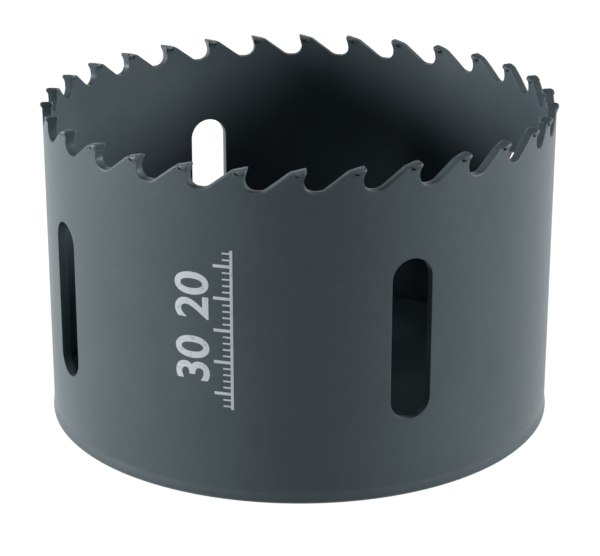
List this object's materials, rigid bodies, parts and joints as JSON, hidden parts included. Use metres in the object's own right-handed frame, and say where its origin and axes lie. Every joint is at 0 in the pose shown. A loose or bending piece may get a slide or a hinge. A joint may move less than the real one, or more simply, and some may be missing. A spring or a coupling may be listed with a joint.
{
  "type": "hole saw",
  "caption": "Cup-shaped hole saw: a rolled steel wall with carbide-tipped teeth and long plug-ejection slots on a thick threaded back plate.",
  "frame": {"origin": "middle of the back plate's underside, on the saw's axis", "axes": "+Z along the saw's axis, from the back plate towards the teeth; -Y, +X and +Y through the middles of three of the four slots"},
  "size_m": [0.0822, 0.0826, 0.0524],
  "materials": {
    "painted_wall": "satin slate-grey enamel on rolled steel",
    "painted_plate": "satin slate-grey enamel on turned steel",
    "painted_tip": "satin slate-grey enamel over ground carbide"
  },
  "bodies": {
    "root": {"cup_wall": "painted_wall", "back_plate": "painted_plate", "carbide_tip_01": "painted_tip", "carbide_tip_02": "painted_tip", "carbide_tip_03": "painted_tip", "carbide_tip_04": "painted_tip", "carbide_tip_05": "painted_tip", "carbide_tip_06": "painted_tip", "carbide_tip_07": "painted_tip", "carbide_tip_08": "painted_tip", "carbide_tip_09": "painted_tip", "carbide_tip_10": "painted_tip", "carbide_tip_11": "painted_tip", "carbide_tip_12": "painted_tip", "carbide_tip_13": "painted_tip", "carbide_tip_14": "painted_tip", "carbide_tip_15": "painted_tip", "carbide_tip_16": "painted_tip", "carbide_tip_17": "painted_tip", "carbide_tip_18": "painted_tip", "carbide_tip_19": "painted_tip", "carbide_tip_20": "painted_tip", "carbide_tip_21": "painted_tip", "carbide_tip_22": "painted_tip", "carbide_tip_23": "painted_tip", "carbide_tip_24": "painted_tip", "carbide_tip_25": "painted_tip", "carbide_tip_26": "painted_tip", "carbide_tip_27": "painted_tip", "carbide_tip_28": "painted_tip", "carbide_tip_29": "painted_tip", "carbide_tip_30": "painted_tip"}
  },
  "joints": []
}
